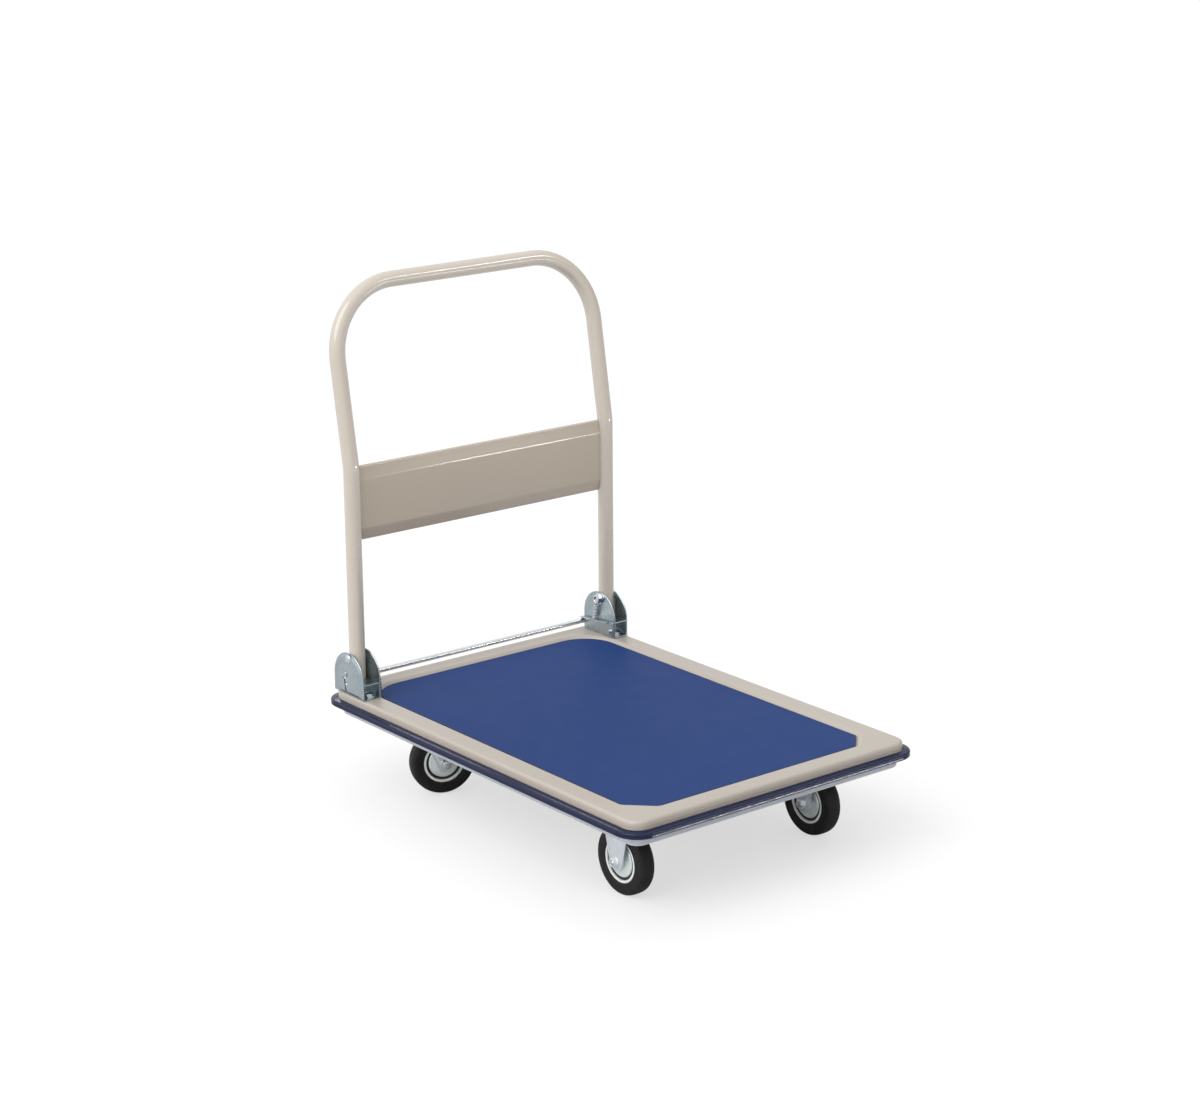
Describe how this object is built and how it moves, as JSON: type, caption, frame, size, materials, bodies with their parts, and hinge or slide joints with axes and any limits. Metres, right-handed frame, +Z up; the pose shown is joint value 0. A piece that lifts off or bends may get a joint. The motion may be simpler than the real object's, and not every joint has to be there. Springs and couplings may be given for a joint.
{
  "type": "folding platform cart",
  "caption": "Flat-deck push cart with a fold-down U handle, a release bar, fixed front casters and swivel rear casters.",
  "frame": {"origin": "on the floor, below the middle of the deck", "axes": "+Z up, +Y towards the handle at the rear, +X to one side, the fixed casters at -Y"},
  "size_m": [0.524, 0.74, 0.7728],
  "materials": {
    "deck_paint": "warm beige powder coat, satin",
    "tube_paint": "warm light beige powder coat, satin",
    "panel_paint": "taupe beige powder coat, semi-gloss",
    "mat_vinyl": "blue PVC mat with a fine leathery grain",
    "trim_vinyl": "dark blue PVC edge trim, satin",
    "frame_steel": "light grey paint",
    "zinc_plate": "bright zinc plate",
    "zinc_fastener": "bright zinc plate",
    "bar_zinc": "bright zinc plate, polished",
    "spring_wire": "zinc-plated wire",
    "plug_plastic": "black moulded plastic",
    "caster_zinc": "bright zinc plate on pressed steel",
    "tyre_rubber": "solid black rubber, satin",
    "rim_plastic": "white moulded plastic with zinc covers"
  },
  "bodies": {
    "deck": {"deck_tray": "deck_paint", "mat": "mat_vinyl", "edge_trim": "trim_vinyl", "under_frame": "frame_steel", "cross_channel_front": "frame_steel", "cross_channel_rear": "frame_steel", "centre_rib": "frame_steel", "bracket_left": "zinc_plate", "bracket_bolt_left": "zinc_fastener", "pivot_bolt_left": "zinc_fastener", "pivot_nut_left": "zinc_fastener", "release_pin_left": "zinc_fastener", "release_spring_left": "spring_wire", "bracket_right": "zinc_plate", "bracket_bolt_right": "zinc_fastener", "pivot_bolt_right": "zinc_fastener", "pivot_nut_right": "zinc_fastener", "release_pin_right": "zinc_fastener", "release_spring_right": "spring_wire", "fork_front_left": "caster_zinc", "axle_bush_front_left": "zinc_fastener", "axle_bolt_front_left": "zinc_fastener", "axle_nut_front_left": "zinc_fastener", "top_plate_rear_left": "caster_zinc", "swivel_race_rear_left": "caster_zinc", "kingpin_rear_left": "zinc_fastener", "fork_front_right": "caster_zinc", "axle_bush_front_right": "zinc_fastener", "axle_bolt_front_right": "zinc_fastener", "axle_nut_front_right": "zinc_fastener", "top_plate_rear_right": "caster_zinc", "swivel_race_rear_right": "caster_zinc", "kingpin_rear_right": "zinc_fastener"},
    "handle": {"handle_tube": "tube_paint", "handle_panel": "panel_paint", "leg_plug_left": "plug_plastic", "leg_plug_right": "plug_plastic"},
    "release": {"release_bar": "bar_zinc", "release_arm_left": "zinc_plate", "release_arm_right": "zinc_plate"},
    "swivel_left": {"fork_rear_left": "caster_zinc", "axle_bush_rear_left": "zinc_fastener", "axle_bolt_rear_left": "zinc_fastener", "axle_nut_rear_left": "zinc_fastener"},
    "swivel_right": {"fork_rear_right": "caster_zinc", "axle_bush_rear_right": "zinc_fastener", "axle_bolt_rear_right": "zinc_fastener", "axle_nut_rear_right": "zinc_fastener"},
    "wheel_front_left": {"tyre_front_left": "tyre_rubber", "rim_front_left": "rim_plastic"},
    "wheel_front_right": {"tyre_front_right": "tyre_rubber", "rim_front_right": "rim_plastic"},
    "wheel_rear_left": {"tyre_rear_left": "tyre_rubber", "rim_rear_left": "rim_plastic"},
    "wheel_rear_right": {"tyre_rear_right": "tyre_rubber", "rim_rear_right": "rim_plastic"}
  },
  "joints": [
    {"name": "handle_fold", "type": "hinge", "parent": "deck", "child": "handle", "pos_m": [0, 0.3085, 0.213], "axis": [1, 0, 0], "range_deg": [0, 90]},
    {"name": "release_press", "type": "hinge", "parent": "deck", "child": "release", "pos_m": [0, 0.277, 0.167], "axis": [-1, 0, 0], "range_deg": [0, 6], "stiffness_Nm_per_rad": 12, "springref_deg": -5.73, "deforming": ["release_spring_left", "release_spring_right"]},
    {"name": "swivel_left", "type": "hinge", "parent": "deck", "child": "swivel_left", "pos_m": [-0.172, 0.243, 0.116], "axis": [0, 0, 1], "continuous": true},
    {"name": "swivel_right", "type": "hinge", "parent": "deck", "child": "swivel_right", "pos_m": [0.172, 0.243, 0.116], "axis": [0, 0, 1], "continuous": true},
    {"name": "roll_front_left", "type": "hinge", "parent": "deck", "child": "wheel_front_left", "pos_m": [-0.172, -0.243, 0.05], "axis": [1, 0, 0], "continuous": true},
    {"name": "roll_front_right", "type": "hinge", "parent": "deck", "child": "wheel_front_right", "pos_m": [0.172, -0.243, 0.05], "axis": [1, 0, 0], "continuous": true},
    {"name": "roll_rear_left", "type": "hinge", "parent": "swivel_left", "child": "wheel_rear_left", "pos_m": [-0.14053, 0.23308, 0.05], "axis": [-0.3007, -0.9537, 0], "continuous": true},
    {"name": "roll_rear_right", "type": "hinge", "parent": "swivel_right", "child": "wheel_rear_right", "pos_m": [0.20347, 0.23308, 0.05], "axis": [-0.3007, -0.9537, 0], "continuous": true}
  ]
}
